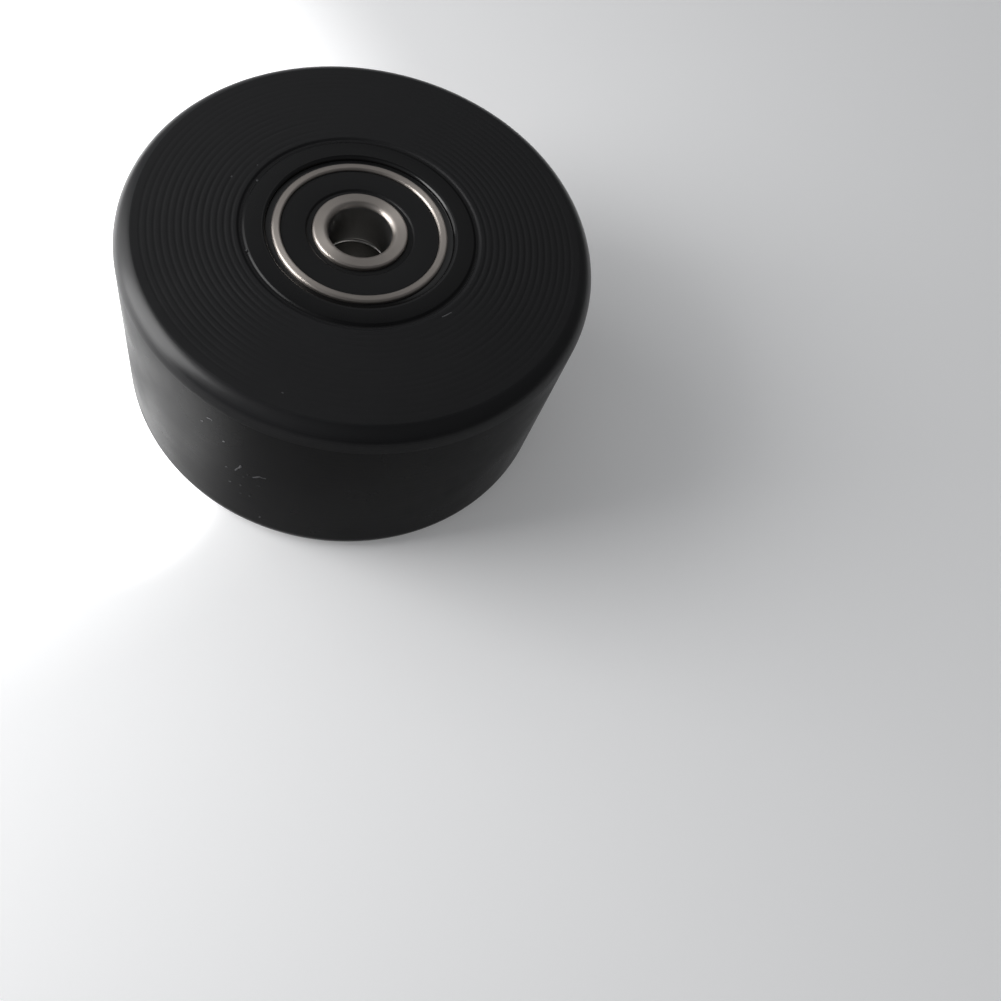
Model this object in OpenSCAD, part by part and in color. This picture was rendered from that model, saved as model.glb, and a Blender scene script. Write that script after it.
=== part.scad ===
// Solid wheel for a sliding carriage: a polyurethane tyre on a nylon core, with a sealed ball
// bearing pressed into each end and a spacer tube between the two inner rings.
// The wheel's axis is Z and the origin is its centre, midway between the two end faces.

/* [Tyre] */
// Diameter of the tread
tyre_d = 60; // [54:0.5:80]
// Width of the wheel, from end face to end face
wheel_w = 30; // [24:0.5:50]
// How far the rounded edge reaches in across the end face
edge_in = 2.2; // [0.8:0.1:2.4]
// How far the rounded edge reaches down the tread
edge_drop = 2.8; // [2.6:0.1:5]

/* [Turned grooves in the end faces] */
// Distance from the core's edge to the innermost groove
groove_start = 1.13; // [0.8:0.01:3]
// Distance from one groove to the next
groove_pitch = 0.83; // [0.6:0.01:2]
// Least plain land between the outermost groove and the rounded edge
groove_margin = 1.1; // [0.4:0.1:6]
// Width of a groove at the face
groove_w = 0.36; // [0.1:0.02:0.5]
// Depth of the innermost groove
groove_depth = 0.06; // [0.03:0.01:0.3]
// Depth of the outermost groove, as a share of the innermost one's
groove_fade = 0.5; // [0.2:0.05:1]
// Width of the seam groove between core and tyre, at the face
seam_w = 0.92; // [0.5:0.02:1.2]
// Width of the seam groove at its bottom
seam_floor_w = 0.4; // [0.1:0.02:0.4]
// Depth of the seam groove
seam_depth = 0.2; // [0.1:0.05:0.8]

/* [Core] */
// Radius of the core where it meets the tyre
core_r = 14.72; // [13.5:0.02:15]
// Depth of the waist round the core, which keys the tyre to it
waist_depth = 1.2; // [0.4:0.1:2]
// Width of the waist at its bottom
waist_w = 8; // [3:0.5:12]
// Radius of the bore between the two bearing pockets
core_bore_r = 9; // [8:0.1:10]
// Radius of the wider mouth of a bearing pocket
mouth_r = 11.72; // [11.3:0.02:12.5]
// Depth of the wider mouth of a bearing pocket
mouth_depth = 1; // [0.4:0.1:3]
// Rounding of the edge of a pocket's mouth
mouth_round = 0.55; // [0.1:0.05:0.8]
// How far a bearing's face lies below the end face
bearing_recess = 0.15; // [0:0.05:1]

/* [Bearing] */
// Bore of a bearing
bore_d = 8; // [6:0.1:8.6]
// Outside diameter of a bearing
bearing_d = 22; // [21.6:0.1:23]
// Width of a bearing
bearing_w = 7; // [6.8:0.1:9]
// Diameter of the circle that the balls' centres lie on
pitch_d = 15; // [14.8:0.05:15.2]
// Diameter of a ball
ball_d = 3.969; // [3.7:0.001:4.1]
// Number of balls in a bearing
ball_count = 7; // [5:1:8]
// Radius of the inner ring's shoulders
inner_shoulder_r = 5.95; // [5.9:0.05:6.3]
// Radius of the outer ring's shoulders
outer_shoulder_r = 9; // [8.8:0.05:9.2]
// Rounding of the outer ring's outer corners
ring_round = 0.35; // [0.1:0.05:0.6]
// Rounding of the edges of the inner ring's bore
bore_round = 0.7; // [0.1:0.05:0.8]
// Rounding of the rings' inner corners, next to the seals
land_round = 0.3; // [0.05:0.01:0.33]

/* [Seals] */
// Radius of the opening in the outer ring that a seal is pushed through
seal_mouth_r = 9.9; // [9.6:0.05:10]
// Height of the seal's bead above the outer ring's opening
seal_bead = 0.28; // [0.1:0.02:0.4]
// How far the seal's face lies below the rings' faces
seal_recess = 0.35; // [0.35:0.05:0.4]
// Thickness of a seal
seal_t = 0.65; // [0.3:0.05:0.7]
// Width of the thinner lip that runs round the inner ring
lip_w = 0.6; // [0.2:0.05:0.8]
// How far the lip's face lies below the seal's face
lip_step = 0.2; // [0.05:0.05:0.25]

/* [Cage] */
// Thickness of the pressed strip
cage_t = 0.3; // [0.15:0.05:0.35]
// Width of the pressed strip
cage_w = 1.7; // [1:0.1:2]
// Radius of a rivet's shank
rivet_r = 0.25; // [0.15:0.01:0.35]
// Radius of a rivet's head
rivet_head_r = 0.45; // [0.4:0.01:0.6]
// Height of a rivet's head
rivet_head_h = 0.18; // [0.1:0.02:0.25]

/* [Spacer] */
// Outside radius of the spacer tube
spacer_r = 5.5; // [5:0.1:6]
// Rounding of the spacer's bore at its ends
spacer_round = 0.4; // [0.1:0.05:0.5]

/* [Clearances] */
// Gap between a ball and its races and pocket
ball_gap = 0.05; // [0.03:0.01:0.08]
// Gap between a seal's lip and the inner ring
lip_gap = 0.05; // [0.03:0.01:0.1]
// Radial gap between a bearing and its pocket, and between a seal and its groove
press_gap = 0.02; // [0.01:0.01:0.05]
// Thickness of the bond between core and tyre
bond_t = 0.02; // [0.01:0.01:0.05]
// Radial gap between the axle's size and the spacer's bore
spacer_gap = 0.1; // [0.05:0.05:0.3]

/* [Hidden] */
$fn = 96;
SIDES = ["top", "bottom"];
RING_NODES = ["outer_ring", "inner_ring", "face_seal", "inside_seal"];
CAGE_NODES = ["cage_face_half", "cage_inside_half", "cage_rivets"];

tyre_r = tyre_d / 2;
half_w = wheel_w / 2;
// One arc that runs smoothly into the tread and meets the end face at a crisp corner
edge_r = (edge_in * edge_in + edge_drop * edge_drop) / (2 * edge_in);
groove_first_r = core_r + groove_start;
groove_room = tyre_r - edge_in - groove_margin - groove_first_r;
groove_count = 1 + floor(groove_room / groove_pitch);
bore_r = bore_d / 2;
bearing_r = bearing_d / 2;
bearing_half = bearing_w / 2;
pitch_r = pitch_d / 2;
ball_r = ball_d / 2;
ball_step = 360 / ball_count;
race_r = ball_r + ball_gap;
pocket_r = bearing_r + press_gap;
pocket_depth = bearing_w + bearing_recess;
bearing_z = half_w - bearing_recess - bearing_half;
spacer_half = half_w - pocket_depth;
spacer_bore_r = bore_r + spacer_gap;
seal_top = bearing_half - seal_recess;
seal_bottom = seal_top - seal_t;
seal_lip_r = inner_shoulder_r + lip_gap;
seal_rim_r = seal_mouth_r + seal_bead;
seal_groove_r = seal_rim_r + press_gap;
cage_in_r = pitch_r - cage_w / 2;
cage_out_r = pitch_r + cage_w / 2;
// How far a cutting shape runs past the surface that it opens
over = 1;

// Cuts the corner of a section at (x, y) to a radius r; the material lies on its -sx, -sy side
module round_off(x, y, r, sx, sy)
    difference() {
        translate([x - (sx > 0 ? r : over), y - (sy > 0 ? r : over)]) square(r + over);
        translate([x - sx * r, y - sy * r]) circle(r);
    }

// The first ball lies half a step round from +X, so a rivet lies on +X
function ball_angle(i) = (i - 0.5) * ball_step;

// Puts a section above the middle plane, and its mirror image below it
module both_halves() {
    children();
    mirror([0, 1]) children();
}

// Fine V grooves, shallower towards the tread, and the tyre's half of the seam groove
function groove_points(r, depth) =
    [[r - groove_w / 2, half_w], [r, half_w - depth], [r + groove_w / 2, half_w]];

function groove_depth_at(i) =
    groove_depth * (1 - (1 - groove_fade) * i / max(1, groove_count - 1));

function face_line() = concat(
    [
        [core_r + bond_t, half_w - seam_depth],
        [core_r + seam_floor_w / 2, half_w - seam_depth],
        [core_r + seam_w / 2, half_w]
    ],
    [
        for (i = [0:1:groove_count - 1])
            each groove_points(groove_first_r + i * groove_pitch, groove_depth_at(i))
    ]
);

// Half section of the keyed joint, from the middle plane up to the seam groove
function joint_line(shift) = [
    [core_r - waist_depth + shift, 0],
    [core_r - waist_depth + shift, waist_w / 2],
    [core_r + shift, waist_w / 2 + waist_depth]
];

module tyre_half_section() {
    difference() {
        polygon(concat(
            joint_line(bond_t),
            face_line(),
            [[tyre_r, half_w], [tyre_r, 0]]
        ));
        difference() {
            translate([tyre_r - edge_in, half_w - edge_drop])
                square([edge_in + over, edge_drop + over]);
            translate([tyre_r - edge_r, half_w - edge_drop]) circle(edge_r);
        }
    }
}

module tyre() {
    color([0.12, 0.12, 0.13])
        rotate_extrude() both_halves() tyre_half_section();
}

module core_half_section() {
    difference() {
        polygon(concat(
            [[core_bore_r, 0]],
            joint_line(0),
            [
                [core_r, half_w - seam_depth],
                [core_r - seam_floor_w / 2, half_w - seam_depth],
                [core_r - seam_w / 2, half_w],
                [core_bore_r, half_w]
            ]
        ));
        translate([core_bore_r - over, half_w - pocket_depth])
            square([pocket_r - core_bore_r + over, pocket_depth + over]);
        translate([core_bore_r - over, half_w - mouth_depth])
            square([mouth_r - core_bore_r + over, mouth_depth + over]);
        round_off(mouth_r, half_w, mouth_round, -1, 1);
    }
}

module hub_core() {
    color([0.07, 0.07, 0.08])
        rotate_extrude() both_halves() core_half_section();
}

module spacer_half_section() {
    difference() {
        translate([spacer_bore_r, 0]) square([spacer_r - spacer_bore_r, spacer_half]);
        round_off(spacer_bore_r, spacer_half, spacer_round, -1, 1);
    }
}

module spacer() {
    color([0.6, 0.6, 0.62])
        rotate_extrude() both_halves() spacer_half_section();
}

// Puts a bearing's piece in its pocket: the end that shows points out of the wheel
module in_pocket(side) {
    if (side == "top") translate([0, 0, bearing_z]) children();
    else mirror([0, 0, 1]) translate([0, 0, bearing_z]) children();
}

module outer_ring_half_section() {
    difference() {
        translate([outer_shoulder_r, 0])
            square([bearing_r - outer_shoulder_r, bearing_half]);
        translate([pitch_r, 0]) circle(race_r);
        translate([outer_shoulder_r - over, seal_bottom])
            square([seal_groove_r - outer_shoulder_r + over, seal_t]);
        translate([outer_shoulder_r - over, seal_bottom])
            square([seal_mouth_r - outer_shoulder_r + over, bearing_half]);
        round_off(bearing_r, bearing_half, ring_round, 1, 1);
        round_off(seal_mouth_r, bearing_half, land_round, -1, 1);
    }
}

module outer_ring(side) {
    color([0.62, 0.6, 0.56])
        in_pocket(side) rotate_extrude() both_halves() outer_ring_half_section();
}

module inner_ring_half_section() {
    difference() {
        translate([bore_r, 0]) square([inner_shoulder_r - bore_r, bearing_half]);
        translate([pitch_r, 0]) circle(race_r);
        round_off(bore_r, bearing_half, bore_round, -1, 1);
        round_off(inner_shoulder_r, bearing_half, land_round, 1, 1);
    }
}

module inner_ring(side) {
    color([0.62, 0.6, 0.56])
        in_pocket(side) rotate_extrude() both_halves() inner_ring_half_section();
}

// A moulded disc with a bead that snaps behind the outer ring's opening and a thinner lip inside
module seal_section() {
    bead_h = seal_t - press_gap;
    polygon([
        [seal_lip_r, seal_bottom],
        [seal_rim_r, seal_bottom],
        [seal_rim_r, seal_bottom + bead_h / 2],
        [seal_mouth_r - press_gap, seal_bottom + bead_h],
        [seal_mouth_r - press_gap, seal_top],
        [seal_lip_r + lip_w + lip_step, seal_top],
        [seal_lip_r + lip_w, seal_top - lip_step],
        [seal_lip_r, seal_top - lip_step]
    ]);
}

module seal(side, facing) {
    color([0.1, 0.1, 0.1])
        in_pocket(side) rotate_extrude()
            if (facing == "face") seal_section();
            else mirror([0, 1]) seal_section();
}

// Places copies round the pitch circle: on the balls, or midway between them
module round_the_pitch(midway = false)
    for (i = [1:ball_count])
        rotate(ball_angle(i) + (midway ? ball_step / 2 : 0)) translate([pitch_r, 0, 0]) children();

module strip_band(z0, z1)
    translate([0, 0, z0]) difference() {
        cylinder(r = cage_out_r, h = z1 - z0);
        translate([0, 0, -over]) cylinder(r = cage_in_r, h = z1 - z0 + 2 * over);
    }

// One half of the pressed cage: a flat ring with a rounded pocket over each ball
module cage_half_shape() {
    difference() {
        union() {
            strip_band(0, cage_t);
            intersection() {
                strip_band(0, race_r + cage_t + over);
                round_the_pitch() sphere(race_r + cage_t);
            }
        }
        round_the_pitch() sphere(race_r);
        round_the_pitch(midway = true)
            translate([0, 0, -over]) cylinder(r = rivet_r + press_gap, h = cage_t + 2 * over);
    }
}

module cage_half(side, facing) {
    color([0.7, 0.68, 0.62])
        in_pocket(side) mirror([0, 0, facing == "face" ? 0 : 1]) cage_half_shape();
}

module rivet() {
    translate([0, 0, -cage_t]) cylinder(r = rivet_r, h = 2 * cage_t);
    for (end = [0, 1])
        mirror([0, 0, end]) translate([0, 0, cage_t])
            cylinder(r1 = rivet_head_r, r2 = rivet_r, h = rivet_head_h);
}

module cage_rivets(side) {
    color([0.7, 0.68, 0.62])
        in_pocket(side) round_the_pitch(midway = true) rivet();
}

module ball(side, i) {
    color([0.8, 0.8, 0.8])
        in_pocket(side) rotate(ball_angle(i)) translate([pitch_r, 0, 0]) sphere(ball_r);
}

tyre();
hub_core();
spacer();
for (side = SIDES) {
    outer_ring(side);
    inner_ring(side);
    seal(side, "face");
    seal(side, "inside");
    cage_half(side, "face");
    cage_half(side, "inside");
    cage_rivets(side);
    for (i = [1:ball_count])
        ball(side, i);
}
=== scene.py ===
"""A solid wheel for a sliding carriage: a polyurethane tyre cast on a nylon core, with a sealed
ball bearing pressed into each end.

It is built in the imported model's frame: the wheel's axis is Z and its centre the origin. Sizes are
in millimetres unless a comment says otherwise, and become metres where a mesh is made.
"""

import math

import bmesh
import bpy
from mathutils import Matrix, Vector


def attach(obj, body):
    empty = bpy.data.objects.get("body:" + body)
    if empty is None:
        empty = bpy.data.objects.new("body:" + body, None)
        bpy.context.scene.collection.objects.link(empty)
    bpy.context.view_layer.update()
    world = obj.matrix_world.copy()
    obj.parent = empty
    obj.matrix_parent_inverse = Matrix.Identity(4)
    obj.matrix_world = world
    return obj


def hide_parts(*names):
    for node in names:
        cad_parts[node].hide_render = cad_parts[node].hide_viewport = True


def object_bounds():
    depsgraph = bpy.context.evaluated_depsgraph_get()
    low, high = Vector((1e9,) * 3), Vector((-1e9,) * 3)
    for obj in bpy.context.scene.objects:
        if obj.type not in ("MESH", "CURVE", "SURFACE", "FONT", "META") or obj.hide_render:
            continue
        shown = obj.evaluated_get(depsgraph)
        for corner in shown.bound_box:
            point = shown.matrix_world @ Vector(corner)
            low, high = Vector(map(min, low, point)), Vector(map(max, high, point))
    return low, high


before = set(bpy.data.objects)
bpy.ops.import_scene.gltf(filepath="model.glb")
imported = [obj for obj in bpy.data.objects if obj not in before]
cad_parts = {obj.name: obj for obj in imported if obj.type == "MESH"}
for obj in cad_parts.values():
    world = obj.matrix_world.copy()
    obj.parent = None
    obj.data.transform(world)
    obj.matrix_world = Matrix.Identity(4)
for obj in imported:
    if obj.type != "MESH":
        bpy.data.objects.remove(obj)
cad_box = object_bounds()

# ---------------------------------------------------------------------------------------------
# Camera
# It looks down on the upper end face from the front, turned a little about its own line of
# sight. The photograph is cut off-centre from a wider picture, which the shift stands for.
# ---------------------------------------------------------------------------------------------
MM = 0.001  # in metres
CAMERA_PLACE = Vector((10.052, -82.446, 109.55)) * MM
CAMERA_DIP, CAMERA_ROLL = 61.247, 15.821  # degrees that it looks down by and is rolled by
SENSOR_WIDTH, FOCAL_LENGTH = 36.0, 35.749
PICTURE_SHIFT = (0.1204, -0.0405)  # in widths of the picture
NEAREST, FARTHEST = 0.005, 20.0  # that it sees, in metres

lens = bpy.data.cameras.new("camera")
lens.sensor_width, lens.lens = SENSOR_WIDTH, FOCAL_LENGTH
lens.shift_x, lens.shift_y = PICTURE_SHIFT
lens.clip_start, lens.clip_end = NEAREST, FARTHEST
camera = bpy.data.objects.new("camera", lens)
camera.matrix_world = (
    Matrix.Translation(CAMERA_PLACE)
    @ Matrix.Rotation(math.radians(90 - CAMERA_DIP), 4, "X")
    @ Matrix.Rotation(math.radians(CAMERA_ROLL), 4, "Z")
)
bpy.context.scene.collection.objects.link(camera)
bpy.context.scene.camera = camera
bpy.context.scene.view_settings.view_transform = "Standard"

# ---------------------------------------------------------------------------------------------
# Floor and light
# A plain pale sheet that the wheel stands on, with painted pools of light glowing on it at the left.
# A softbox and a tall screen stand on the left, a faint card hangs behind, and the room is dim to
# the right and above.
# ---------------------------------------------------------------------------------------------
FLOOR_SIZE = 8.0  # all of this section's lengths are in metres
FLOOR_GAP = 0.00001  # keeps the sheet out of the wheel's end face
FLOOR_COLOUR, FLOOR_MOTTLE = (0.86, 0.86, 0.865), 0.97  # and the share that mottling darkens it to
FLOOR_GLOSS, FLOOR_ROUGHNESS = 0.2, 0.9
FLOOR_GLOW = 0.14  # the sheet is thin and lit a little from below
# Painted pools of light that glow on the sheet: place, where their light starts and stops to fade,
# strength
PAINTED_LIGHT_POOLS = [((-0.085, 0.015), (0.036, 0.100), 1.2), ((-0.026, -0.027), (0.006, 0.019), 1.3)]
# Each light: degrees round from +X, degrees up, distance, width and height, power in watts
SOFTBOX = (-162.0, 22.0, 0.19, (0.12, 0.19), 0.37)
TALL_SCREEN = (-176.0, 26.0, 0.34, (0.36, 0.36), 0.68)
BACK_CARD = (97.0, 50.0, 0.5, (0.44, 0.20), 0.08)
ROOM_COLOUR, ROOM_STRENGTH = (0.95, 0.97, 1.0, 1.0), 0.46  # of the wall on the left
# The room darkens as one looks along an axis: from this share of the way to this one, to this much
DIM_SIDE = (-0.65, 0.30, 0.36)  # towards the right
DIM_FOOT = (0.50, 0.10, 0.45)  # downwards
DIM_CEILING = (0.86, 0.99, 0.45)  # upwards
NODE_STEP = 190  # from one node to the next, where a tree is shown


def node(tree, kind, feeds=None, **settings):
    """Adds one node to a tree. feeds gives each input its value, or another node's output."""
    made = tree.nodes.new(kind)
    made.location = (NODE_STEP * len(tree.nodes), 0)
    for name, value in settings.items():
        setattr(made, name, value)
    for name, value in (feeds or {}).items():
        if isinstance(value, bpy.types.NodeSocket):
            tree.links.new(value, made.inputs[name])
        else:
            made.inputs[name].default_value = value
    return made


def maths(tree, operation, *values):
    """A Math node's result."""
    return node(tree, "ShaderNodeMath", dict(enumerate(values)), operation=operation).outputs[0]


def noise(tree, place, scale, detail):
    """A cloudy pattern's strength at each place."""
    made = node(tree, "ShaderNodeTexNoise", {"Vector": place, "Scale": scale, "Detail": detail})
    return made.outputs["Fac"]


def span(tree, value, low, high, to_low, to_high, course="LINEAR"):
    """A value's range carried over to another range, and kept inside it."""
    made = node(tree, "ShaderNodeMapRange", {
        "Value": value, "From Min": low, "From Max": high, "To Min": to_low, "To Max": to_high},
        interpolation_type=course)
    return made.outputs["Result"]


def blend_colours(tree, factor, colour_a, colour_b):
    """A mix of two colours."""
    made = node(tree, "ShaderNodeMix", {"Factor": factor}, data_type="RGBA")
    made.inputs["A"].default_value = colour_a + (1.0,)
    made.inputs["B"].default_value = colour_b + (1.0,)
    return made.outputs["Result"]


def new_finish(name):
    """An empty material: its tree, its shader and the piece's own coordinates."""
    finish = bpy.data.materials.new(name)
    finish.use_nodes = True
    tree = finish.node_tree
    place = node(tree, "ShaderNodeTexCoord").outputs["Object"]
    return finish, tree, tree.nodes["Principled BSDF"], place


def add_piece(name, mesh):
    """A mesh's object, at the origin and in the scene."""
    piece = bpy.data.objects.new(name, mesh)
    bpy.context.scene.collection.objects.link(piece)
    return piece


def hang_light(name, way, rise, distance, size, power):
    """A soft rectangular light that faces the wheel and can't be seen itself."""
    panel = bpy.data.lights.new(name, "AREA")
    panel.shape = "RECTANGLE"
    panel.size, panel.size_y = size
    panel.energy = power
    light = bpy.data.objects.new(name, panel)
    light.matrix_world = (
        Matrix.Rotation(math.radians(way), 4, "Z")
        @ Matrix.Rotation(math.radians(-rise), 4, "Y")
        @ Matrix.Translation((distance, 0, 0))
        @ Matrix.Rotation(math.radians(90), 4, "Y")
        @ Matrix.Rotation(math.radians(90), 4, "Z")
    )
    light.visible_camera = False
    bpy.context.scene.collection.objects.link(light)


floor_finish, tree, shader, place = new_finish("pale_floor")
floor_z = cad_box[0][2] - FLOOR_GAP
mottled = tuple(FLOOR_MOTTLE * part for part in FLOOR_COLOUR)
tint = blend_colours(tree, noise(tree, place, scale=9.0, detail=4.0), FLOOR_COLOUR, mottled)
tree.links.new(tint, shader.inputs["Base Color"])
shader.inputs["Roughness"].default_value = FLOOR_ROUGHNESS
shader.inputs["Specular IOR Level"].default_value = FLOOR_GLOSS
glow_and_painted_light = FLOOR_GLOW
# Each pool is painted light: the sheet glows brighter round its place, fading out between the two
# distances
for (x, y), (near, far), strength in PAINTED_LIGHT_POOLS:
    away = node(tree, "ShaderNodeVectorMath", {0: place, 1: (x, y, floor_z)}, operation="DISTANCE")
    painted_pool = span(tree, away.outputs["Value"], near, far, strength, 0.0, course="SMOOTHSTEP")
    glow_and_painted_light = maths(tree, "ADD", glow_and_painted_light, painted_pool)
shader.inputs["Emission Color"].default_value = (1.0, 1.0, 1.0, 1.0)
tree.links.new(glow_and_painted_light, shader.inputs["Emission Strength"])

floor_mesh = bpy.data.meshes.new("floor")
half = FLOOR_SIZE / 2
corners = [(-half, -half, floor_z), (half, -half, floor_z), (half, half, floor_z),
           (-half, half, floor_z)]
floor_mesh.from_pydata(corners, [], [(0, 1, 2, 3)])
floor_mesh.materials.append(floor_finish)
floor = add_piece("floor", floor_mesh)

hang_light("softbox", *SOFTBOX)
hang_light("tall_screen", *TALL_SCREEN)
hang_light("back_card", *BACK_CARD)

room = bpy.data.worlds.new("room")
room.use_nodes = True
tree = room.node_tree
walls = tree.nodes["Background"]
walls.inputs["Color"].default_value = ROOM_COLOUR
look = node(tree, "ShaderNodeTexCoord").outputs["Generated"]
way = node(tree, "ShaderNodeSeparateXYZ", {"Vector": look}).outputs
strength = ROOM_STRENGTH
for axis, (start, end, share) in (("X", DIM_SIDE), ("Z", DIM_FOOT), ("Z", DIM_CEILING)):
    dim = span(tree, way[axis], start, end, 1.0, share, course="SMOOTHSTEP")
    strength = maths(tree, "MULTIPLY", strength, dim)
tree.links.new(strength, walls.inputs["Strength"])
bpy.context.scene.world = room

# ---------------------------------------------------------------------------------------------
# Core
# A ring turned from black nylon, smooth on its faces, with a bearing pocket bored into each end.
# A waist round its outside keys it to the tyre, which is cast on to it.
# ---------------------------------------------------------------------------------------------
HALF_WIDTH = 15.0
CORE_RADIUS, CORE_BORE = 14.72, 9.0
WAIST_DEPTH, WAIST_HALF = 1.2, 4.0
POCKET_RADIUS, POCKET_FLOOR = 11.02, 7.85
MOUTH_RADIUS, MOUTH_DEPTH, MOUTH_ROUND = 11.72, 0.62, 0.55
MOUTH_FILLET = (0.06, 0.05)  # across and up, at the foot of the mouth's wall
MOUTH_LOOP = 0.1  # a loop this far past a rounding keeps the flat beside it flat
FACED_LIP = 0.08  # of the mouth's rounding that has the end face's finish
SEAM_WIDTH, SEAM_DEPTH = 0.92, 0.2
SEAM_WALL = [  # into the seam from its edge, and the share of its depth
    (-0.10, 0.0), (-0.03, 0.06), (0.05, 0.25), (0.16, 0.65), (0.23, 0.92), (0.32, 1.0)]
NYLON_DARK, NYLON_LIGHT = (0.0026, 0.0026, 0.0028), (0.0042, 0.0042, 0.0045)
FACED_GLOSS, FACED_ROUGHNESS = 0.20, (0.26, 0.33)
BORED_GLOSS, BORED_ROUGHNESS = 0.36, (0.13, 0.19)
CORE_STEPS = 192
CRISP_ANGLE = math.radians(42)  # a corner sharper than this is left crisp
CLOUD_SPAN = (0.3, 0.7)  # a cloudy pattern rarely leaves this range


def bend(centre_r, centre_z, radius, start, end, steps):
    """Points round a corner of an outline: an arc about (centre_r, centre_z), in degrees."""
    turns = [math.radians(start + (end - start) * i / steps) for i in range(steps + 1)]
    return [(centre_r + radius * math.cos(a), centre_z + radius * math.sin(a)) for a in turns]


def both_ends(upper_half):
    """A closed outline from its upper half, which runs from the middle plane up and back to it."""
    return upper_half + [(r, -z) for r, z in reversed(upper_half) if z > 0]


def outline_mesh(chains, closed):
    """The (radius, height) points of an outline, as a mesh of edges in the plane y = 0."""
    points, edges = [], []
    for chain in chains:
        first = len(points)
        points += [(r * MM, 0.0, z * MM) for r, z in chain]
        edges += [(i, i + 1) for i in range(first, len(points) - 1)]
        if closed:
            edges.append((len(points) - 1, first))
    mesh = bpy.data.meshes.new("outline")
    mesh.from_pydata(points, edges, [])
    return mesh


def new_tree(name, inputs):
    """An empty Geometry Nodes tree with named inputs: the tree, and what it is given."""
    made = bpy.data.node_groups.new(name, "GeometryNodeTree")
    made.interface.new_socket("Geometry", in_out="INPUT", socket_type="NodeSocketGeometry")
    made.interface.new_socket("Geometry", in_out="OUTPUT", socket_type="NodeSocketGeometry")
    for label, kind in inputs:
        made.interface.new_socket(label, in_out="INPUT", socket_type="NodeSocket" + kind)
    return made, node(made, "NodeGroupInput").outputs


def sweep_round(tree, given, outline):
    """Sweeps an outline round the wheel's axis: the swept mesh. It goes round on a circle of the
    middle radius, so it is first shifted inwards by as much."""
    section = node(tree, "GeometryNodeMeshToCurve", {"Mesh": outline})
    shift = maths(tree, "MULTIPLY", given["Middle radius"], -1.0)
    offset = node(tree, "ShaderNodeCombineXYZ", {"X": shift})
    section = node(tree, "GeometryNodeTransform", {
        "Geometry": section.outputs["Curve"], "Translation": offset.outputs["Vector"],
        "Rotation": (math.pi / 2, 0, 0)})
    circle = node(tree, "GeometryNodeCurvePrimitiveCircle", {
        "Resolution": given["Steps round"], "Radius": given["Middle radius"]})
    circle = node(tree, "GeometryNodeSetCurveNormal", {"Curve": circle.outputs["Curve"]},
                  mode="Z_UP")
    swept = node(tree, "GeometryNodeCurveToMesh", {
        "Curve": circle.outputs["Curve"], "Profile Curve": section.outputs["Geometry"]})
    return swept.outputs["Mesh"]


def shade_and_finish(tree, given, mesh, other_finishes=()):
    """Smooth shading apart from crisp corners, the materials, and the end of the tree."""
    smooth = node(tree, "GeometryNodeSetShadeSmooth", {"Geometry": mesh, "Shade Smooth": True},
                  domain="FACE")
    angle = node(tree, "GeometryNodeInputMeshEdgeAngle").outputs["Unsigned Angle"]
    crisp = maths(tree, "GREATER_THAN", angle, given["Crisp angle"])
    sharp = node(tree, "GeometryNodeSetShadeSmooth", {
        "Geometry": smooth.outputs["Geometry"], "Selection": crisp, "Shade Smooth": False},
        domain="EDGE")
    real = node(tree, "GeometryNodeRealizeInstances", {"Geometry": sharp.outputs["Geometry"]})
    done = node(tree, "GeometryNodeSetMaterial", {
        "Geometry": real.outputs["Geometry"], "Material": given["Finish"]})
    for faces, finish in other_finishes:
        done = node(tree, "GeometryNodeSetMaterial", {
            "Geometry": done.outputs["Geometry"], "Selection": faces, "Material": finish})
    node(tree, "NodeGroupOutput", {"Geometry": done.outputs["Geometry"]})


def make_on_tree(name, raw_mesh, tree, **sizes):
    """Runs a tree on a raw mesh, with its named inputs set, and keeps the plain mesh it makes."""
    raw = add_piece(name + "_raw", raw_mesh)
    making = raw.modifiers.new("making", "NODES")
    making.node_group = tree
    for item in tree.interface.items_tree:
        key = item.name.replace(" ", "_").lower()
        if item.in_out == "INPUT" and key in sizes:
            making[item.identifier] = sizes[key]
    bpy.context.view_layer.update()
    evaluated = raw.evaluated_get(bpy.context.evaluated_depsgraph_get())
    made = bpy.data.meshes.new_from_object(evaluated)
    raw.modifiers.remove(making)
    bpy.data.objects.remove(raw)
    made.name = name
    shell = bmesh.new()
    shell.from_mesh(made)
    bmesh.ops.recalc_face_normals(shell, faces=shell.faces)
    shell.to_mesh(made)
    shell.free()
    return add_piece(name, made)


def from_axis(tree, place):
    """A place's distance from the wheel's axis, its flat vector from the axis, and its height."""
    parts = node(tree, "ShaderNodeSeparateXYZ", {"Vector": place}).outputs
    flat = node(tree, "ShaderNodeCombineXYZ", {"X": parts["X"], "Y": parts["Y"]}).outputs["Vector"]
    radius = node(tree, "ShaderNodeVectorMath", {0: flat}, operation="LENGTH").outputs["Value"]
    return radius, flat, parts["Z"]


def ring_place(tree, place, round_scale, across_scale):
    """Coordinates that run slowly round the wheel and quickly across it, for marks of turning."""
    radius, flat, height = from_axis(tree, place)
    way = node(tree, "ShaderNodeVectorMath", {0: flat}, operation="NORMALIZE").outputs["Vector"]
    way = node(tree, "ShaderNodeVectorMath", {0: way, "Scale": round_scale}, operation="SCALE")
    across = maths(tree, "SUBTRACT", radius, maths(tree, "ABSOLUTE", height))
    lift = node(tree, "ShaderNodeCombineXYZ", {"Z": maths(tree, "MULTIPLY", across, across_scale)})
    return node(tree, "ShaderNodeVectorMath", {
        0: way.outputs["Vector"], 1: lift.outputs["Vector"]}, operation="ADD").outputs["Vector"]


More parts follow.
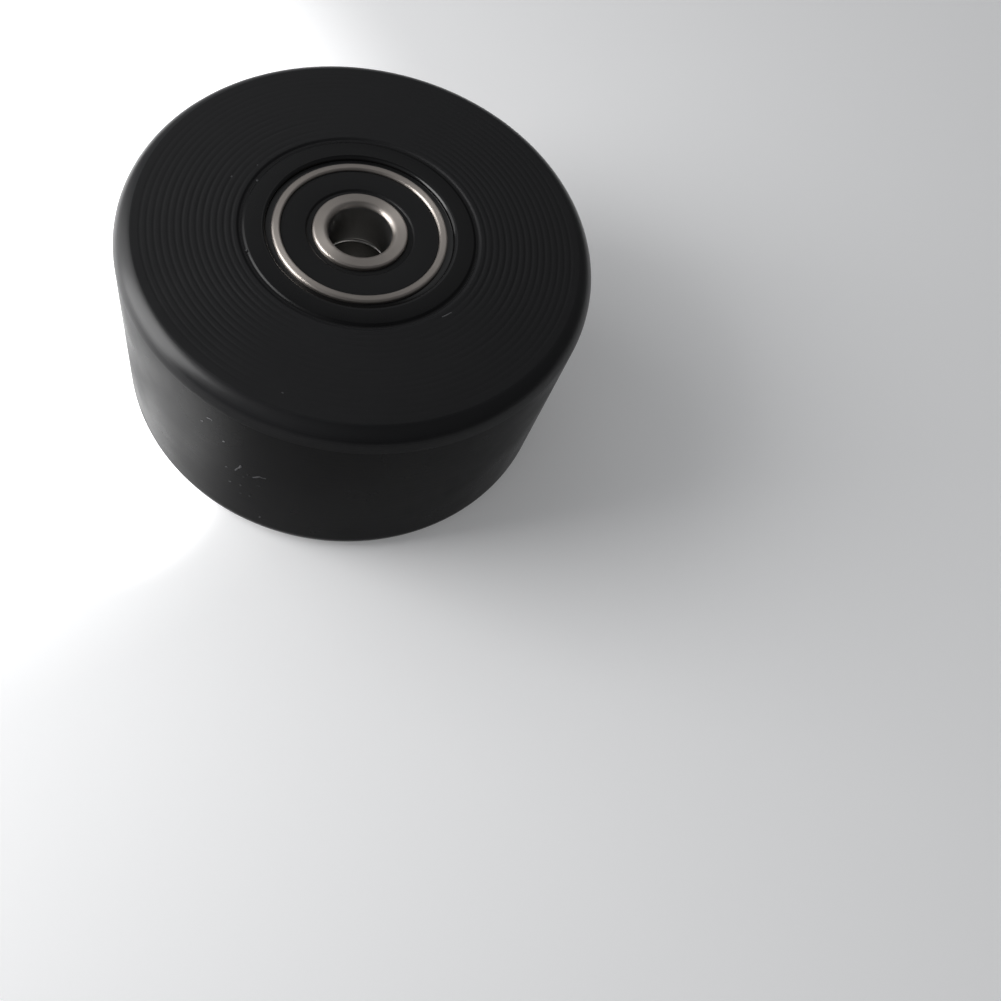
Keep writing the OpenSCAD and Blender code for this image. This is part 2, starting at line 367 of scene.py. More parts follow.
def dress(tree, shader, colour, roughness, relief=None, strength=0.0, depth=0.0):
    """Lets patterns rule a finish. Its colour and its roughness each take a pattern and the two
    ends that it runs between. Its fine relief takes a pattern, a strength and a depth in metres."""
    tree.links.new(blend_colours(tree, *colour), shader.inputs["Base Color"])
    pattern, smoothest, roughest = roughness
    ruled = span(tree, pattern, *CLOUD_SPAN, smoothest, roughest)
    tree.links.new(ruled, shader.inputs["Roughness"])
    if relief is not None:
        bump = node(tree, "ShaderNodeBump", {
            "Height": relief, "Strength": strength, "Distance": depth})
        tree.links.new(bump.outputs["Normal"], shader.inputs["Normal"])


def black_nylon(name, gloss, roughness):
    """Black nylon as it comes off the lathe: even, with fine rings that only a close look shows."""
    finish, tree, shader, place = new_finish(name)
    cloud = noise(tree, place, scale=260.0, detail=5.0)
    rings = ring_place(tree, place, round_scale=2.0, across_scale=9000.0)
    dress(tree, shader, (cloud, NYLON_DARK, NYLON_LIGHT), (cloud, *roughness),
          relief=noise(tree, rings, scale=1.0, detail=3.0), strength=0.12, depth=0.00002)
    shader.inputs["Specular IOR Level"].default_value = gloss
    return finish


turned_tree, given = new_tree("turned_on_a_lathe", [
    ("Steps round", "Int"), ("Middle radius", "Float"), ("Crisp angle", "Float"),
    ("Finish", "Material"), ("Bored radius", "Float"), ("Bored finish", "Material")])
place = node(turned_tree, "GeometryNodeInputPosition").outputs["Position"]
in_bore = maths(turned_tree, "LESS_THAN", from_axis(turned_tree, place)[0], given["Bored radius"])
shade_and_finish(turned_tree, given, sweep_round(turned_tree, given, given["Geometry"]),
                 [(in_bore, given["Bored finish"])])


def turned(name, outline, finish, body, replaced, steps, bored=(0.0, None)):
    """A piece turned to a closed outline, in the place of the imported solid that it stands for.
    bored gives the radius that its bore reaches out to, and the bore's own finish."""
    radii = [r for r, z in outline]
    bored_radius, bored_finish = bored
    piece = make_on_tree(
        name, outline_mesh([outline], closed=True), turned_tree, steps_round=steps,
        middle_radius=(min(radii) + max(radii)) / 2 * MM, crisp_angle=CRISP_ANGLE, finish=finish,
        bored_radius=bored_radius * MM, bored_finish=bored_finish or finish)
    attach(piece, body)
    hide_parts(replaced)


mouth_floor, mouth_edge = HALF_WIDTH - MOUTH_DEPTH, MOUTH_RADIUS + MOUTH_ROUND
seam_edge = CORE_RADIUS - SEAM_WIDTH / 2
core_outline = both_ends(
    [(CORE_BORE, 0), (CORE_BORE, POCKET_FLOOR), (POCKET_RADIUS, POCKET_FLOOR),
     (POCKET_RADIUS, mouth_floor), (MOUTH_RADIUS - MOUTH_FILLET[0], mouth_floor),
     (MOUTH_RADIUS, mouth_floor + MOUTH_FILLET[1])]
    + bend(mouth_edge, HALF_WIDTH - MOUTH_ROUND, MOUTH_ROUND, 180, 90, steps=14)
    + [(mouth_edge + MOUTH_LOOP, HALF_WIDTH)]
    + [(seam_edge + x, HALF_WIDTH - share * SEAM_DEPTH) for x, share in SEAM_WALL]
    + [(CORE_RADIUS, HALF_WIDTH - SEAM_DEPTH), (CORE_RADIUS, WAIST_HALF + WAIST_DEPTH),
       (CORE_RADIUS - WAIST_DEPTH, WAIST_HALF), (CORE_RADIUS - WAIST_DEPTH, 0)]
)
turned("core", core_outline, black_nylon("faced_nylon", FACED_GLOSS, FACED_ROUGHNESS),
       "wheel", "hub_core", CORE_STEPS,
       bored=(mouth_edge - FACED_LIP, black_nylon("bored_nylon", BORED_GLOSS, BORED_ROUGHNESS)))

# ---------------------------------------------------------------------------------------------
# Tyre
# Black polyurethane cast on to the core and then turned: a straight tread, an edge that rounds
# over to a crisp corner, and a row of fine even grooves cut into each end face.
# ---------------------------------------------------------------------------------------------
TYRE_RADIUS, TYRE_MIDDLE = 30.0, 22.0  # and the radius that its outline is swept round at
BOND = 0.02  # between the core's outside and the tyre's bore
EDGE_IN, EDGE_DROP = 2.2, 2.8  # of the rounded edge, from the tread in and from the face down
CORNER_TRIM = 0.8  # degrees of the edge's curve that the corner with the face is trimmed by
FACE_LOOPS, TREAD_LOOP = (0.25, 0.06), 0.4  # beside the rounded edge
GROOVE_START, GROOVE_PITCH, GROOVE_COUNT = 1.13, 0.83, 14  # the start is outwards from the core
GROOVE_DEPTH, GROOVE_FADE = 0.052, 0.45  # of the innermost, and the outermost one's share of it
GROOVE_SECTION = [  # across the groove, and the share of its depth
    (-0.26, 0.0), (-0.18, 0.29), (-0.10, 0.79), (-0.03, 1.0),
    (0.03, 1.0), (0.10, 0.79), (0.18, 0.29), (0.26, 0.0)]
GROOVE_WAVER = (0.75, 0.3)  # how far the innermost and the outermost groove's depth varies
WAVER_SCALE, WAVER_MIDDLE = 130.0, 0.6  # of the cloudy pattern that it follows
WAVER_STEP = 3.7  # from one groove's slice of that pattern to the next one's
# The face wobbled a little as it turned: on this side and the one across, the tool cut less deep
SHALLOW_WAY, SHALLOW_SHARE = -60.0, 0.78
SHALLOWEST = -0.9  # no point of a groove loses more of its depth than this
POLYURETHANE_RINGS = {"strength": 0.25, "depth": 0.00003}  # the fine rings that turning leaves
FACE_GLOSS, FACE_ROUGHNESS = 0.24, (0.42, 0.54)
FACE_DARK, FACE_LIGHT = (0.0056, 0.0056, 0.0061), (0.0082, 0.0082, 0.0089)
EDGE_GLOSS, EDGE_ROUGHNESS = 0.33, (0.28, 0.36)
EDGE_DARK, EDGE_LIGHT = (0.0060, 0.0060, 0.0065), (0.0086, 0.0086, 0.0094)
# The trimmed edge is glossier than the worn tread, and the finish changes in bands from one to the
# other. Each band has its top, its gloss, its least and most roughness, and its base brightness
BANDS = [(14.25, 0.29, 0.28, 0.36, 0.0060), (13.90, 0.24, 0.28, 0.36, 0.0057),
         (13.60, 0.19, 0.28, 0.36, 0.0054), (13.30, 0.145, 0.27, 0.36, 0.0049),
         (13.02, 0.105, 0.27, 0.36, 0.0043), (12.76, 0.07, 0.26, 0.36, 0.0036),
         (12.52, 0.045, 0.25, 0.36, 0.0030), (12.30, 0.022, 0.24, 0.36, 0.0024)]
BAND_DARK, BAND_LIGHT = (1.0, 1.0, 1.1), (1.6, 1.6, 1.75)  # shares of the base brightness
TYRE_STEPS = 256

edge_radius = (EDGE_IN**2 + EDGE_DROP**2) / (2 * EDGE_IN)
edge_start = math.degrees(math.asin(EDGE_DROP / edge_radius))
first_groove = CORE_RADIUS + GROOVE_START
last_groove = first_groove + (GROOVE_COUNT - 1) * GROOVE_PITCH

tyre_tree, given = new_tree("tyre_with_turned_grooves", [
    ("Groove", "Object"), ("Groove count", "Int"), ("Groove pitch", "Float"),
    ("First groove", "Float"), ("Groove fade", "Float"), ("Half width", "Float"),
    ("Waver scale", "Float"), ("Inner waver", "Float"), ("Outer waver", "Float"),
    ("Shallow side", "Vector"), ("Shallow share", "Float"), ("Steps round", "Int"),
    ("Middle radius", "Float"), ("Crisp angle", "Float"), ("Finish", "Material"),
    ("Edge start", "Float"), ("Edge finish", "Material")]
    + [(f"Band {i} {what}", kind) for i in range(len(BANDS))
       for what, kind in (("start", "Float"), ("finish", "Material"))])


def work_out(operation, *values):
    """A Math node's result in the tyre's tree."""
    return maths(tyre_tree, operation, *values)


# The row of grooves on each end face: one section on each point of a line, ever shallower outwards
start = node(tyre_tree, "ShaderNodeCombineXYZ", {
    "X": given["First groove"], "Z": given["Half width"]})
step = node(tyre_tree, "ShaderNodeCombineXYZ", {"X": given["Groove pitch"]})
row = node(tyre_tree, "GeometryNodeMeshLine", {
    "Count": given["Groove count"], "Start Location": start.outputs["Vector"],
    "Offset": step.outputs["Vector"]}, mode="OFFSET")
groove = node(tyre_tree, "GeometryNodeObjectInfo", {"Object": given["Groove"]})
last_number = work_out("SUBTRACT", given["Groove count"], 1.0)
along_row = work_out(
    "DIVIDE", node(tyre_tree, "GeometryNodeInputIndex").outputs["Index"], last_number)
fade = work_out("MULTIPLY", along_row, work_out("SUBTRACT", 1.0, given["Groove fade"]))
stretch = node(tyre_tree, "ShaderNodeCombineXYZ", {
    "X": 1.0, "Y": 1.0, "Z": work_out("SUBTRACT", 1.0, fade)})
upper = node(tyre_tree, "GeometryNodeInstanceOnPoints", {
    "Points": row.outputs["Mesh"], "Instance": groove.outputs["Geometry"],
    "Scale": stretch.outputs["Vector"]})
upper = node(tyre_tree, "GeometryNodeRealizeInstances", {"Geometry": upper.outputs["Instances"]})
lower = node(tyre_tree, "GeometryNodeTransform", {
    "Geometry": upper.outputs["Geometry"], "Scale": (1.0, 1.0, -1.0)})

# Joined to the rest of the outline and swept round
whole = node(tyre_tree, "GeometryNodeJoinGeometry")
for part in (given["Geometry"], upper.outputs["Geometry"], lower.outputs["Geometry"]):
    tyre_tree.links.new(part, whole.inputs["Geometry"])
whole = node(tyre_tree, "GeometryNodeMergeByDistance", {
    "Geometry": whole.outputs["Geometry"], "Distance": 0.000001})
swept = sweep_round(tyre_tree, given, whole.outputs["Geometry"])

# Which groove a point of the swept mesh is in, and how deep below the end face it lies
place = node(tyre_tree, "GeometryNodeInputPosition").outputs["Position"]
radius, flat, height = from_axis(tyre_tree, place)
number = work_out("DIVIDE", work_out("SUBTRACT", radius, given["First groove"]),
                  given["Groove pitch"])
number = work_out("ROUND", number)
past_last = work_out("SUBTRACT", given["Groove count"], 0.5)
in_grooves = work_out("MULTIPLY", work_out("GREATER_THAN", number, -0.5),
                      work_out("LESS_THAN", number, past_last))
depth = work_out("SUBTRACT", given["Half width"], work_out("ABSOLUTE", height))

# How much deeper or shallower it is cut there: each groove wavers, and two sides are shallow
waver = node(tyre_tree, "ShaderNodeTexNoise", {
    "Vector": flat, "W": work_out("MULTIPLY", number, WAVER_STEP),
    "Scale": given["Waver scale"], "Detail": 2.0}, noise_dimensions="4D").outputs["Fac"]
reach = span(tyre_tree, number, 0.0, last_number, given["Inner waver"], given["Outer waver"])
waver = work_out("MULTIPLY", work_out("SUBTRACT", waver, WAVER_MIDDLE),
                 work_out("MULTIPLY", reach, 2.0))
flat_way = node(tyre_tree, "ShaderNodeVectorMath", {0: flat}, operation="NORMALIZE")
shallow = node(tyre_tree, "ShaderNodeVectorMath", {
    0: flat_way.outputs["Vector"], 1: given["Shallow side"]}, operation="DOT_PRODUCT")
shallow = work_out("MULTIPLY", work_out("ABSOLUTE", shallow.outputs["Value"]), 2.0)
shallow = work_out("MAXIMUM", work_out("SUBTRACT", shallow, 1.0), 0.0)
shallow = work_out("MULTIPLY", shallow, given["Shallow share"])
change = work_out("MAXIMUM", work_out("SUBTRACT", waver, shallow), SHALLOWEST)
change = work_out("MULTIPLY", work_out("MULTIPLY", depth, change), in_grooves)
inwards = work_out("MULTIPLY", work_out("SIGN", height), -1.0)
offset = node(tyre_tree, "ShaderNodeCombineXYZ", {"Z": work_out("MULTIPLY", change, inwards)})
cut = node(tyre_tree, "GeometryNodeSetPosition", {
    "Geometry": swept, "Offset": offset.outputs["Vector"]})

# The edge's finish covers all that lies outside the flat face, and each band covers it from its
# own top down
finishes = [(work_out("GREATER_THAN", radius, given["Edge start"]), given["Edge finish"])]
for i in range(len(BANDS)):
    below = work_out("LESS_THAN", work_out("ABSOLUTE", height), given[f"Band {i} start"])
    finishes.append((below, given[f"Band {i} finish"]))
shade_and_finish(tyre_tree, given, cut.outputs["Geometry"], finishes)


def polyurethane(name, gloss, roughness, dark, light):
    """Black polyurethane with the faint rings that turning leaves, and a slight cloudiness."""
    finish, tree, shader, place = new_finish(name)
    cloud = noise(tree, place, scale=120.0, detail=6.0)
    rings = ring_place(tree, place, round_scale=3.0, across_scale=5200.0)
    dress(tree, shader, (cloud, dark, light), (cloud, *roughness),
          relief=noise(tree, rings, scale=1.0, detail=4.0), **POLYURETHANE_RINGS)
    shader.inputs["Specular IOR Level"].default_value = gloss
    return finish


face_finish = polyurethane(
    "turned_face_polyurethane", FACE_GLOSS, FACE_ROUGHNESS, FACE_DARK, FACE_LIGHT)
edge_finish = polyurethane(
    "trimmed_edge_polyurethane", EDGE_GLOSS, EDGE_ROUGHNESS, EDGE_DARK, EDGE_LIGHT)
bands = {}
for i, (top, gloss, rough_low, rough_high, base) in enumerate(BANDS):
    bands[f"band_{i}_start"] = top * MM
    bands[f"band_{i}_finish"] = polyurethane(
        f"tread_polyurethane_{i}", gloss, (rough_low, rough_high),
        tuple(share * base for share in BAND_DARK), tuple(share * base for share in BAND_LIGHT))

bond_radius = CORE_RADIUS + BOND
inner_chain = (
    [(first_groove - GROOVE_PITCH / 2, HALF_WIDTH)]
    + [(CORE_RADIUS + SEAM_WIDTH / 2 - x, HALF_WIDTH - share * SEAM_DEPTH)
       for x, share in SEAM_WALL]
    + [(bond_radius, HALF_WIDTH - SEAM_DEPTH), (bond_radius, WAIST_HALF + WAIST_DEPTH),
       (bond_radius - WAIST_DEPTH, WAIST_HALF)])
inner_chain += [(r, -z) for r, z in reversed(inner_chain)]
outer_chain = (
    [(last_groove + GROOVE_PITCH / 2, HALF_WIDTH)]
    + [(TYRE_RADIUS - EDGE_IN - loop, HALF_WIDTH) for loop in FACE_LOOPS]
    + bend(TYRE_RADIUS - edge_radius, HALF_WIDTH - EDGE_DROP, edge_radius,
           edge_start - CORNER_TRIM, 0, steps=14)
    + [(TYRE_RADIUS, HALF_WIDTH - EDGE_DROP - TREAD_LOOP)])
outer_chain += [(r, -z) for r, z in reversed(outer_chain)]
groove_chain = (
    [(-GROOVE_PITCH / 2, 0.0)] + [(x, -share * GROOVE_DEPTH) for x, share in GROOVE_SECTION]
    + [(GROOVE_PITCH / 2, 0.0)])

groove_piece = add_piece("groove_section", outline_mesh([groove_chain], closed=False))
shallow_way = math.radians(SHALLOW_WAY)
tyre = make_on_tree(
    "tyre_turned", outline_mesh([inner_chain, outer_chain], closed=False), tyre_tree,
    groove=groove_piece, groove_count=GROOVE_COUNT, groove_pitch=GROOVE_PITCH * MM,
    first_groove=first_groove * MM, groove_fade=GROOVE_FADE, half_width=HALF_WIDTH * MM,
    waver_scale=WAVER_SCALE, inner_waver=GROOVE_WAVER[0], outer_waver=GROOVE_WAVER[1],
    shallow_side=(math.cos(shallow_way), math.sin(shallow_way), 0.0),
    shallow_share=SHALLOW_SHARE, steps_round=TYRE_STEPS, middle_radius=TYRE_MIDDLE * MM,
    crisp_angle=CRISP_ANGLE, finish=face_finish, edge_start=(TYRE_RADIUS - EDGE_IN) * MM,
    edge_finish=edge_finish, **bands)
bpy.data.objects.remove(groove_piece)
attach(tyre, "wheel")
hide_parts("tyre")

# ---------------------------------------------------------------------------------------------
# Bearing rings
# Hardened steel, ground on the faces and rounded at the corners, with a round race inside for
# the balls. The outer ring is pressed into its pocket; the inner one is clamped on the axle.
# ---------------------------------------------------------------------------------------------
BEARING_HEIGHT = 11.35  # of a bearing's middle plane above the wheel's
BEARING_HALF = 3.5
BORE_RADIUS, BEARING_RADIUS = 4.0, 11.0
PITCH_RADIUS, RACE_RADIUS = 7.5, 2.0345
INNER_SHOULDER, OUTER_SHOULDER = 5.95, 9.0
RING_ROUND, BORE_ROUND, LAND_ROUND = 0.35, 0.7, 0.3
RING_LOOP, WALL_LOOP = 0.06, 0.2  # beside the roundings, on the faces and on the walls
SEAL_MOUTH, SEAL_GROOVE, SEAL_TOP, SEAL_BOTTOM = 9.9, 10.2, 3.15, 2.5
RING_DARK, RING_LIGHT, RING_ROUGHNESS = (0.375, 0.340, 0.310), (0.44, 0.402, 0.37), (0.34, 0.42)
HONED_DARK, HONED_LIGHT, HONED_ROUGHNESS = (0.46, 0.455, 0.45), (0.50, 0.495, 0.49), (0.30, 0.34)
HONED_REACH = 0.03  # past the bore's wall
RING_STEPS = 160
SIDES = (("top", 1), ("bottom", -1))


def ground_steel(name, dark, light, roughness, streak):
    """Hardened steel with the fine rings of the grinding wheel, which draw its highlights out."""
    finish, tree, shader, place = new_finish(name)
    rings = ring_place(tree, place, round_scale=5.0, across_scale=16000.0)
    grinding = noise(tree, rings, scale=1.0, detail=3.0)
    tarnish = noise(tree, place, scale=420.0, detail=4.0)
    dress(tree, shader, (tarnish, dark, light), (grinding, *roughness),
          relief=grinding, strength=0.08, depth=0.00001)
    shader.inputs["Metallic"].default_value = 1.0
    shader.inputs["Anisotropic"].default_value = streak
    shader.inputs["Anisotropic Rotation"].default_value = 0.25
    return finish


bearing_steel = ground_steel(
    "ground_bearing_steel", RING_DARK, RING_LIGHT, RING_ROUGHNESS, streak=0.8)
bore_steel = ground_steel(
    "honed_bore_steel", HONED_DARK, HONED_LIGHT, HONED_ROUGHNESS, streak=0.0)

race_outside = math.degrees(math.acos((OUTER_SHOULDER - PITCH_RADIUS) / RACE_RADIUS))
race_inside = math.degrees(math.acos((INNER_SHOULDER - PITCH_RADIUS) / RACE_RADIUS))
mouth_round = SEAL_MOUTH + LAND_ROUND
outside_round = BEARING_RADIUS - RING_ROUND
bore_round = BORE_RADIUS + BORE_ROUND
shoulder_round = INNER_SHOULDER - LAND_ROUND
outer_ring_outline = both_ends(
    bend(PITCH_RADIUS, 0, RACE_RADIUS, 0, race_outside, steps=8)
    + [(OUTER_SHOULDER, SEAL_BOTTOM), (SEAL_GROOVE, SEAL_BOTTOM), (SEAL_GROOVE, SEAL_TOP),
       (SEAL_MOUTH, SEAL_TOP)]
    + bend(mouth_round, BEARING_HALF - LAND_ROUND, LAND_ROUND, 180, 90, steps=8)
    + [(mouth_round + RING_LOOP, BEARING_HALF), (outside_round - RING_LOOP, BEARING_HALF)]
    + bend(outside_round, BEARING_HALF - RING_ROUND, RING_ROUND, 90, 0, steps=8)
    + [(BEARING_RADIUS, BEARING_HALF - RING_ROUND - WALL_LOOP), (BEARING_RADIUS, 0)])
inner_ring_outline = both_ends(
    [(BORE_RADIUS, 0), (BORE_RADIUS, BEARING_HALF - BORE_ROUND - WALL_LOOP)]
    + bend(bore_round, BEARING_HALF - BORE_ROUND, BORE_ROUND, 180, 90, steps=12)
    + [(bore_round + RING_LOOP, BEARING_HALF), (shoulder_round - RING_LOOP, BEARING_HALF)]
    + bend(shoulder_round, BEARING_HALF - LAND_ROUND, LAND_ROUND, 90, 0, steps=8)
    + bend(PITCH_RADIUS, 0, RACE_RADIUS, race_inside, 180, steps=8))


def raised(outline, side_sign):
    """A bearing's outline moved to the upper end, or mirrored to the lower one."""
    return [(r, side_sign * (z + BEARING_HEIGHT)) for r, z in outline]


for side, sign in SIDES:
    turned(side + "_ring_outer", raised(outer_ring_outline, sign), bearing_steel,
           "wheel", side + "_outer_ring", RING_STEPS)
    turned(side + "_ring_inner", raised(inner_ring_outline, sign), bearing_steel,
           "axle_side", side + "_inner_ring", RING_STEPS,
           bored=(BORE_RADIUS + HONED_REACH, bore_steel))

# ---------------------------------------------------------------------------------------------
# Balls and cages
# Seven polished steel balls run between the rings. A cage of two pressed steel strips, riveted
# together between the balls, keeps them apart. All of it is closed in behind the seals.
# ---------------------------------------------------------------------------------------------
BALLS = 7
BALL_DARK, BALL_LIGHT, BALL_ROUGHNESS = (0.70, 0.70, 0.71), (0.80, 0.80, 0.81), (0.06, 0.14)
CAGE_DARK, CAGE_LIGHT, CAGE_ROUGHNESS = (0.42, 0.40, 0.37), (0.56, 0.54, 0.50), (0.32, 0.50)

ball_steel, tree, shader, place = new_finish("polished_ball_steel")
haze = noise(tree, place, scale=900.0, detail=3.0)
dress(tree, shader, (haze, BALL_DARK, BALL_LIGHT), (haze, *BALL_ROUGHNESS))
shader.inputs["Metallic"].default_value = 1.0

cage_steel, tree, shader, place = new_finish("pressed_cage_steel")
rolling = noise(tree, place, scale=1500.0, detail=5.0)
dress(tree, shader, (rolling, CAGE_DARK, CAGE_LIGHT), (rolling, *CAGE_ROUGHNESS),
      relief=rolling, strength=0.3, depth=0.00001)
shader.inputs["Metallic"].default_value = 1.0


def refinish(name, finish):
    """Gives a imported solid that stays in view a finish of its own."""
    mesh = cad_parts[name].data
    mesh.materials.clear()
    mesh.materials.append(finish)


for side, sign in SIDES:
    for part in ("cage_face_half", "cage_inside_half", "cage_rivets"):
        refinish(side + "_" + part, cage_steel)
    for number in range(1, BALLS + 1):
        refinish(side + "_ball_" + str(number), ball_steel)

# ---------------------------------------------------------------------------------------------
# Seals
# Black rubber discs moulded with a bead that snaps behind the outer ring's opening and a thinner
# lip that runs close round the inner ring. They are set back a little below the rings' faces.
# ---------------------------------------------------------------------------------------------
LIP_RADIUS, LIP_WIDTH, LIP_STEP = 6.0, 0.6, 0.2
SEAL_RIM, SEAL_FIT, BEAD_HEIGHT = 10.18, 9.88, 0.63
BREAK = 0.05  # of a corner that is only just broken
RUBBER_DARK, RUBBER_LIGHT = (0.0028, 0.0028, 0.0030), (0.0052, 0.0052, 0.0055)
RUBBER_GLOSS, RUBBER_ROUGHNESS = 0.24, (0.34, 0.46)

seal_rubber, tree, shader, place = new_finish("moulded_seal_rubber")
grain = noise(tree, place, scale=2600.0, detail=4.0)
dress(tree, shader, (grain, RUBBER_DARK, RUBBER_LIGHT), (grain, *RUBBER_ROUGHNESS),
      relief=grain, strength=0.25, depth=0.00002)
shader.inputs["Specular IOR Level"].default_value = RUBBER_GLOSS

lip_end, lip_top = LIP_RADIUS + LIP_WIDTH, SEAL_TOP - LIP_STEP
seal_outline = [
    (LIP_RADIUS, SEAL_BOTTOM), (SEAL_RIM, SEAL_BOTTOM), (SEAL_RIM, SEAL_BOTTOM + BEAD_HEIGHT / 2),
    (SEAL_FIT, SEAL_BOTTOM + BEAD_HEIGHT), (SEAL_FIT, SEAL_TOP - BREAK),
    (SEAL_FIT - BREAK, SEAL_TOP), (SEAL_FIT - 3 * BREAK, SEAL_TOP),
    (lip_end + LIP_STEP + 2 * BREAK, SEAL_TOP),
    (lip_end + LIP_STEP - BREAK / 2, SEAL_TOP - BREAK / 2),
    (lip_end, lip_top), (LIP_RADIUS + BREAK, lip_top), (LIP_RADIUS, lip_top - BREAK)]
inside_seal_outline = [(r, -z) for r, z in seal_outline]
for side, sign in SIDES:
    turned(side + "_seal_face", raised(seal_outline, sign), seal_rubber,
           "wheel", side + "_face_seal", RING_STEPS)
    turned(side + "_seal_inside", raised(inside_seal_outline, sign), seal_rubber,
           "wheel", side + "_inside_seal", RING_STEPS)

# ---------------------------------------------------------------------------------------------
# Spacer
# A plain steel tube between the two inner rings, so that the axle's nut can clamp them without
# loading the balls. Its rounded end shows as a thin bright ring at the bottom of the bore.
# ---------------------------------------------------------------------------------------------
SPACER_RADIUS, SPACER_BORE, SPACER_ROUND, SPACER_HALF = 5.5, 4.1, 0.4, 7.85
SPACER_DARK, SPACER_LIGHT, SPACER_ROUGHNESS = (0.30, 0.29, 0.28), (0.42, 0.41, 0.39), (0.28, 0.45)
SPACER_STEPS = 96

spacer_steel, tree, shader, place = new_finish("turned_spacer_steel")
rings = ring_place(tree, place, round_scale=4.0, across_scale=8000.0)
turning = noise(tree, rings, scale=1.0, detail=4.0)
dress(tree, shader, (turning, SPACER_DARK, SPACER_LIGHT), (turning, *SPACER_ROUGHNESS),
      relief=turning, strength=0.3, depth=0.00002)
shader.inputs["Metallic"].default_value = 1.0

spacer_outline = both_ends(
    [(SPACER_BORE, 0)]
    + bend(SPACER_BORE + SPACER_ROUND, SPACER_HALF - SPACER_ROUND, SPACER_ROUND, 180, 90, steps=6)
    + [(SPACER_RADIUS - BREAK, SPACER_HALF), (SPACER_RADIUS, SPACER_HALF - BREAK),
       (SPACER_RADIUS, 0)])
turned("spacer_tube", spacer_outline, spacer_steel, "axle_side", "spacer",
       SPACER_STEPS)

# ---------------------------------------------------------------------------------------------
# Specks
# Pale crumbs and bits of lint that cling to the tyre: a scatter of dots and short dashes low on
# the tread, and a few dots and one nick in the end face's grooves.
# ---------------------------------------------------------------------------------------------
SPECK_STEPS, SPECK_SIDES = 6, 7
SPECK_THINNEST = 0.7  # share of the full radius
SPECK_UNEVEN, SPECK_LUMPS = 0.03, 6000.0  # how far the skin strays, and its pattern's scale
SPECK_TOP = HALF_WIDTH - 0.002  # nothing stands out of the end face
TREAD_SPECK, TREAD_SINK = 0.22, 0.14  # one's radius across, and how deep its middle lies
FACE_SPECK, FACE_SINK = 0.15, 0.10
LINT_GLOSS, LINT_ROUGHNESS = 0.3, (0.7, 0.9)
TREAD_SPECKS = [  # each is a row of places: degrees round, height
    [(-105.5, -0.45), (-104.9, -0.2)],
    [(-102.8, 0.0), (-102.2, 0.9), (-101.5, 1.4), (-101.3, 2.1)],
    [(-98.2, 0.4), (-97.3, 0.75), (-96.7, 1.3), (-95.9, 1.2), (-94.9, 1.4)],
    [(-104.5, -3.9), (-103.9, -3.65)], [(-96.0, -10.4), (-95.7, -9.95)]]
# Painted light: these specks' lint is the pale lint painted lighter, for the light that falls on
# this part
BRIGHT_SPECKS = [  # on the part that faces the light
    [(-112.1, 7.30), (-111.5, 7.50)], [(-110.3, 9.0), (-109.5, 9.2), (-108.9, 9.1)],
    [(-106.1, 5.7), (-105.6, 5.9)]]
FAINT_SPECKS = [
    [(-99.7, 0.4), (-99.2, 0.6)], [(-100.8, -0.7), (-100.3, -0.5)],
    [(-101.5, -3.35), (-101.0, -3.1)], [(-101.5, -5.65), (-101.0, -5.4)],
    [(-98.9, -5.3), (-98.6, -4.9)], [(-97.1, -1.4), (-96.2, -1.2)]]
FACE_SPECKS = [  # degrees round, radius
    [(-95.5, 25.82), (-95.0, 25.84)], [(171.6, 17.50), (172.4, 17.52)],
    [(167.7, 14.50), (168.4, 14.52)], [(159.7, 15.84), (160.4, 15.86)],
    [(-147.0, 14.50), (-146.0, 14.48)],
    [(-37.7, 15.78), (-36.0, 15.86), (-34.2, 15.90), (-32.7, 15.96)]]
# Each group on the tread: its name, its rows, its lint's name, and the lint's dark and light parts
TREAD_GROUPS = [
    ("specks_on_tread", TREAD_SPECKS, "pale_lint",
     (0.034, 0.034, 0.036), (0.060, 0.060, 0.063)),
    # real pale lint, painted lighter as painted light where it faces the light
    ("bright_specks_on_tread", BRIGHT_SPECKS, "chalky_lint",
     (0.105, 0.105, 0.110), (0.150, 0.150, 0.155)),
    ("faint_specks_on_tread", FAINT_SPECKS, "faint_lint",
     (0.012, 0.012, 0.013), (0.020, 0.020, 0.021))]
FACE_LINT_DARK, FACE_LINT_LIGHT = (0.05, 0.05, 0.053), (0.09, 0.09, 0.093)

speck_tree, given = new_tree("specks_along_rows", [
    ("Speck radius", "Float"), ("Steps", "Int"), ("Sides", "Int"), ("Uneven", "Float"),
    ("Lumps", "Float"), ("Top", "Float"), ("Crisp angle", "Float"), ("Finish", "Material")])

# A lumpy string along each row, with its skin pushed about and pressed level with the end face
rows = node(speck_tree, "GeometryNodeMeshToCurve", {"Mesh": given["Geometry"]})
rows = node(speck_tree, "GeometryNodeResampleCurve", {
    "Curve": rows.outputs["Curve"], "Count": given["Steps"]})
section = node(speck_tree, "GeometryNodeCurvePrimitiveCircle", {
    "Resolution": given["Sides"], "Radius": given["Speck radius"]})
lumps = node(speck_tree, "ShaderNodeTexNoise", {"Scale": given["Lumps"], "Detail": 1.0}).outputs
crumbs = node(speck_tree, "GeometryNodeCurveToMesh", {
    "Curve": rows.outputs["Curve"], "Profile Curve": section.outputs["Curve"],
    "Scale": span(speck_tree, lumps["Fac"], *CLOUD_SPAN, SPECK_THINNEST, 1.0), "Fill Caps": True})
push = node(speck_tree, "ShaderNodeVectorMath", {
    0: lumps["Color"], 1: (-0.5, -0.5, -0.5)}, operation="ADD")
push = node(speck_tree, "ShaderNodeVectorMath", {
    0: push.outputs["Vector"], "Scale": given["Uneven"]}, operation="SCALE")
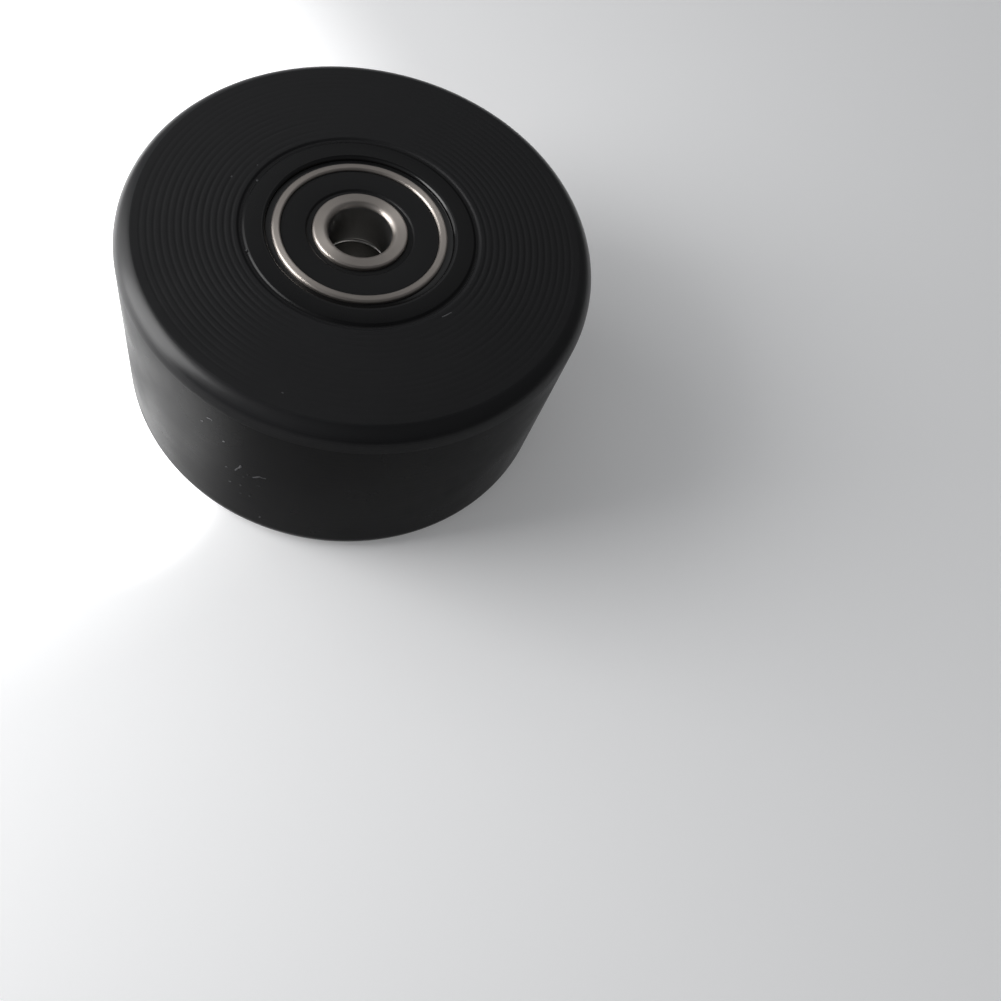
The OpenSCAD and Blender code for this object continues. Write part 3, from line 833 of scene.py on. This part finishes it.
crumbs = node(speck_tree, "GeometryNodeSetPosition", {
    "Geometry": crumbs.outputs["Mesh"], "Offset": push.outputs["Vector"]})
parts = node(speck_tree, "ShaderNodeSeparateXYZ", {
    "Vector": node(speck_tree, "GeometryNodeInputPosition").outputs["Position"]}).outputs
kept = node(speck_tree, "ShaderNodeCombineXYZ", {
    "X": parts["X"], "Y": parts["Y"],
    "Z": maths(speck_tree, "MINIMUM", parts["Z"], given["Top"])})
crumbs = node(speck_tree, "GeometryNodeSetPosition", {
    "Geometry": crumbs.outputs["Geometry"], "Position": kept.outputs["Vector"]})
shade_and_finish(speck_tree, given, crumbs.outputs["Geometry"])


def lint(name, dark, light):
    """Dry pale dust."""
    finish, tree, shader, place = new_finish(name)
    grain = noise(tree, place, scale=9000.0, detail=3.0)
    dress(tree, shader, (grain, dark, light), (grain, *LINT_ROUGHNESS))
    shader.inputs["Specular IOR Level"].default_value = LINT_GLOSS
    return finish


def specks(name, rows, speck_radius, finish):
    """Crumbs along rows of places, given by degrees round, radius and height."""
    points, edges = [], []
    for row in rows:
        edges += [(len(points) + i, len(points) + i + 1) for i in range(len(row) - 1)]
        points += [(r * MM * math.cos(math.radians(a)), r * MM * math.sin(math.radians(a)), z * MM)
                   for a, r, z in row]
    mesh = bpy.data.meshes.new("rows")
    mesh.from_pydata(points, edges, [])
    piece = make_on_tree(
        name, mesh, speck_tree, speck_radius=speck_radius * MM, steps=SPECK_STEPS,
        sides=SPECK_SIDES, uneven=SPECK_UNEVEN * MM, lumps=SPECK_LUMPS, top=SPECK_TOP * MM,
        crisp_angle=CRISP_ANGLE, finish=finish)
    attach(piece, "wheel")


for name, rows, lint_name, dark, light in TREAD_GROUPS:
    sunk = [[(a, TYRE_RADIUS - TREAD_SINK, z) for a, z in row] for row in rows]
    specks(name, sunk, TREAD_SPECK, lint(lint_name, dark, light))
sunk = [[(a, r, HALF_WIDTH - FACE_SINK) for a, r in row] for row in FACE_SPECKS]
specks("specks_on_face", sunk, FACE_SPECK, lint("bright_lint", FACE_LINT_DARK, FACE_LINT_LIGHT))
